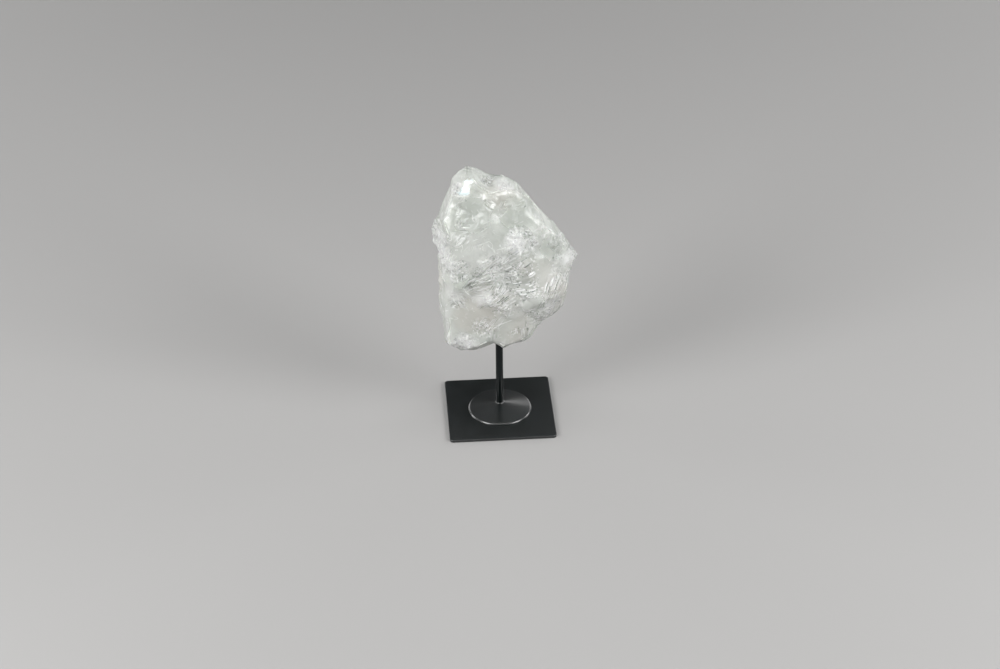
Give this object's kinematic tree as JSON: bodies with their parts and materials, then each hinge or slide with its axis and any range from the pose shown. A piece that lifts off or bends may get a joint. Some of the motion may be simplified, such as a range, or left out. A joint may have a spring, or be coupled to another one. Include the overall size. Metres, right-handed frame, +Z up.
{
  "type": "quartz crystal on stand",
  "caption": "Broken block of clear to milky rock crystal, held upright on a steel rod that rises from a shallow cone on a square black base plate.",
  "frame": {"origin": "on the rod's axis, at the underside of the base plate", "axes": "+Z up along the rod; X along the plate's front edge, +X to the right as seen from the front; the front faces -Y"},
  "size_m": [0.1359, 0.1016, 0.2666],
  "materials": {
    "black_steel": "satin black paint on steel",
    "rock_crystal": "clear to milky quartz, broken surface"
  },
  "bodies": {
    "root": {"base_plate": "black_steel", "cone_collar": "black_steel", "rod": "black_steel", "quartz": "rock_crystal"}
  },
  "joints": []
}
